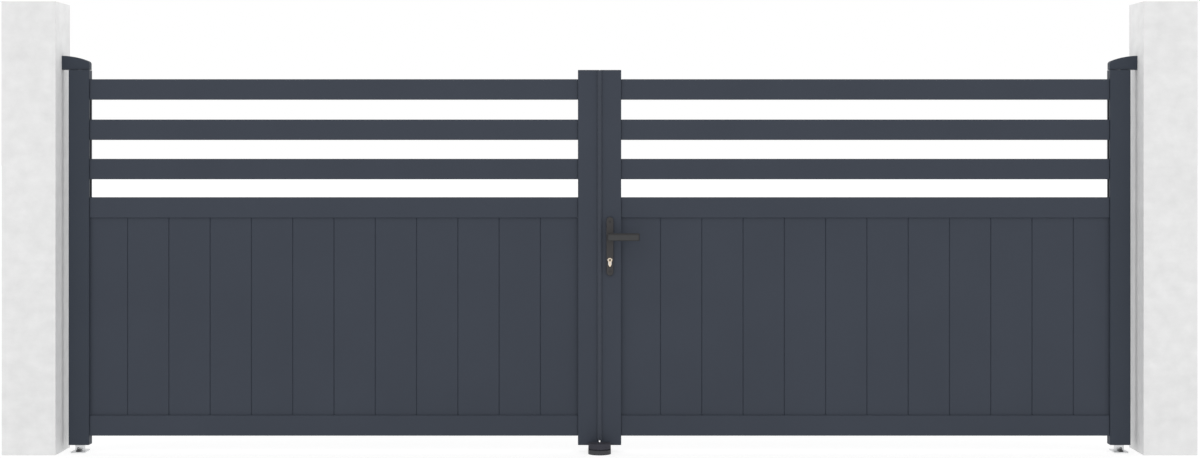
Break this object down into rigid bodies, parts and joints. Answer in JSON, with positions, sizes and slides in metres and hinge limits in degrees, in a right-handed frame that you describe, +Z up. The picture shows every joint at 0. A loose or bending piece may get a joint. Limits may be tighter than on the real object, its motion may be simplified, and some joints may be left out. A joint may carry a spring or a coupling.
{
  "type": "double-leaf swing gate with masonry pillars",
  "caption": "Driveway gate of two hinged aluminium leaves, boarded below and slatted above, with a lever lock, floor pivots and a floor stop, between rendered pillars.",
  "frame": {"origin": "centre of the left pillar's foot, on the ground", "axes": "+X along the gate towards the right pillar, +Y into the property, the way the leaves open, +Z up"},
  "size_m": [4.4, 0.2, 1.671],
  "materials": {
    "render": "matte",
    "paint": "satin",
    "cap": "matte",
    "seal": "matte",
    "zinc": "satin",
    "lock_black": "satin",
    "brass": "satin",
    "stop_plastic": "matte",
    "stop_rubber": "matte"
  },
  "bodies": {
    "surround": {"left_pillar": "render", "left_top_bracket": "paint", "left_top_pin": "zinc", "left_floor_pivot": "zinc", "right_pillar": "render", "right_top_bracket": "paint", "right_top_pin": "zinc", "right_floor_pivot": "zinc", "stop_base": "stop_plastic", "stop_buffer": "stop_rubber"},
    "left_leaf": {"left_hinge_post": "paint", "left_post_foot_plug": "paint", "left_post_head_plug": "paint", "left_meeting_stile": "paint", "left_bottom_rail": "paint", "left_board_panel": "paint", "left_mid_rail": "paint", "left_lower_slat": "paint", "left_middle_slat": "paint", "left_top_slat": "paint", "left_stile_foot_cap": "cap", "left_stile_head_cap": "cap", "meeting_seal": "seal"},
    "right_leaf": {"right_hinge_post": "paint", "right_post_foot_plug": "paint", "right_post_head_plug": "paint", "right_meeting_stile": "paint", "right_bottom_rail": "paint", "right_board_panel": "paint", "right_mid_rail": "paint", "right_lower_slat": "paint", "right_middle_slat": "paint", "right_top_slat": "paint", "right_stile_foot_cap": "cap", "right_stile_head_cap": "cap", "front_lock_plate": "lock_black", "back_lock_plate": "lock_black", "lock_cylinder": "brass"},
    "handle": {"front_lever": "lock_black", "back_lever": "lock_black", "lever_spindle": "zinc"}
  },
  "joints": [
    {"name": "left_leaf_hinge", "type": "hinge", "parent": "surround", "child": "left_leaf", "pos_m": [0.16475, 0, 0], "axis": [0, 0, 1], "range_deg": [0, 100], "deforming": ["meeting_seal"]},
    {"name": "right_leaf_hinge", "type": "hinge", "parent": "surround", "child": "right_leaf", "pos_m": [4.03525, 0, 0], "axis": [0, 0, -1], "range_deg": [0, 100]},
    {"name": "handle_turn", "type": "hinge", "parent": "right_leaf", "child": "handle", "pos_m": [2.1385, 0, 0.8], "axis": [0, 1, 0], "range_deg": [0, 40], "stiffness_Nm_per_rad": 1.5, "springref_deg": -28.65}
  ]
}
